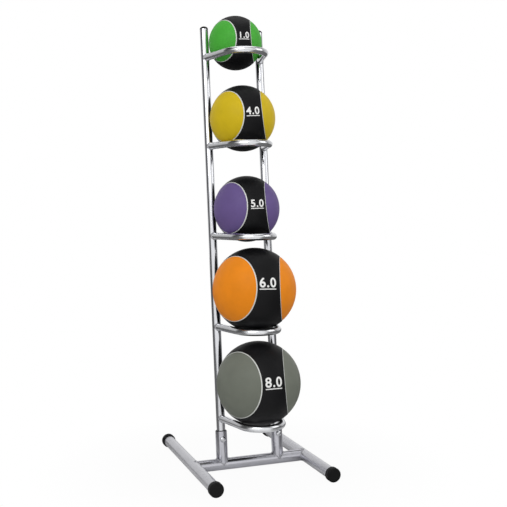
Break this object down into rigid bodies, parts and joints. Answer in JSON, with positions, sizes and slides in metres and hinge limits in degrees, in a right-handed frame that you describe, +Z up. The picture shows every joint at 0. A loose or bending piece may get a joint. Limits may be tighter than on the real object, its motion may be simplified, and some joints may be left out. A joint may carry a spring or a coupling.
{
  "type": "medicine ball rack",
  "caption": "Free-standing leaning rack of chromed tube with level U-shaped holders that store a column of rubber medicine balls, shown with its balls.",
  "frame": {"origin": "on the floor, under the middle of the base", "axes": "+Z up, -Y to the front, where the holders and balls face, +X to the right of someone who looks at its front"},
  "size_m": [0.458, 0.625, 1.5976],
  "materials": {
    "satin_steel": "satin plated steel",
    "chrome": "bright plated steel",
    "cap_rubber": "matt black rubber",
    "black_plastic": "black plastic with a dull sheen",
    "ball_rubber": "pebbled black rubber",
    "green_panel": "pebbled green rubber",
    "yellow_panel": "pebbled yellow rubber",
    "purple_panel": "pebbled purple rubber",
    "orange_panel": "pebbled orange rubber",
    "grey_panel": "pebbled grey rubber"
  },
  "bodies": {
    "rack": {"left_foot_tube": "satin_steel", "right_foot_tube": "satin_steel", "cross_tube": "satin_steel", "left_front_cap": "cap_rubber", "left_rear_cap": "cap_rubber", "right_front_cap": "cap_rubber", "right_rear_cap": "cap_rubber", "left_socket": "satin_steel", "right_socket": "satin_steel", "left_bush": "black_plastic", "right_bush": "black_plastic", "left_upright": "chrome", "right_upright": "chrome", "left_top_plug": "black_plastic", "right_top_plug": "black_plastic", "bottom_holder": "chrome", "lower_holder": "chrome", "middle_holder": "chrome", "upper_holder": "chrome", "top_holder": "chrome", "left_bolt": "chrome", "right_bolt": "chrome", "left_washer": "satin_steel", "right_washer": "satin_steel", "left_cap_nut": "chrome", "right_cap_nut": "chrome"},
    "green_ball": {"green_ball_carcass": "ball_rubber", "green_ball_left_panel": "green_panel", "green_ball_right_panel": "green_panel", "green_ball_valve": "ball_rubber"},
    "yellow_ball": {"yellow_ball_carcass": "ball_rubber", "yellow_ball_left_panel": "yellow_panel", "yellow_ball_right_panel": "yellow_panel", "yellow_ball_valve": "ball_rubber"},
    "purple_ball": {"purple_ball_carcass": "ball_rubber", "purple_ball_left_panel": "purple_panel", "purple_ball_right_panel": "purple_panel", "purple_ball_valve": "ball_rubber"},
    "orange_ball": {"orange_ball_carcass": "ball_rubber", "orange_ball_left_panel": "orange_panel", "orange_ball_right_panel": "orange_panel", "orange_ball_valve": "ball_rubber"},
    "grey_ball": {"grey_ball_carcass": "ball_rubber", "grey_ball_left_panel": "grey_panel", "grey_ball_right_panel": "grey_panel", "grey_ball_valve": "ball_rubber"}
  },
  "joints": [
    {"name": "green_ball_lift", "type": "slide", "parent": "rack", "child": "green_ball", "axis": [0, 0, 1], "range_m": [0, 0.25]},
    {"name": "yellow_ball_lift", "type": "slide", "parent": "rack", "child": "yellow_ball", "axis": [0, -0.8829, 0.4695], "range_m": [0, 0.3]},
    {"name": "purple_ball_lift", "type": "slide", "parent": "rack", "child": "purple_ball", "axis": [0, -0.8829, 0.4695], "range_m": [0, 0.3]},
    {"name": "orange_ball_lift", "type": "slide", "parent": "rack", "child": "orange_ball", "axis": [0, -0.9553, 0.2957], "range_m": [0, 0.3]},
    {"name": "grey_ball_lift", "type": "slide", "parent": "rack", "child": "grey_ball", "axis": [0, -0.9553, 0.2957], "range_m": [0, 0.3]}
  ]
}
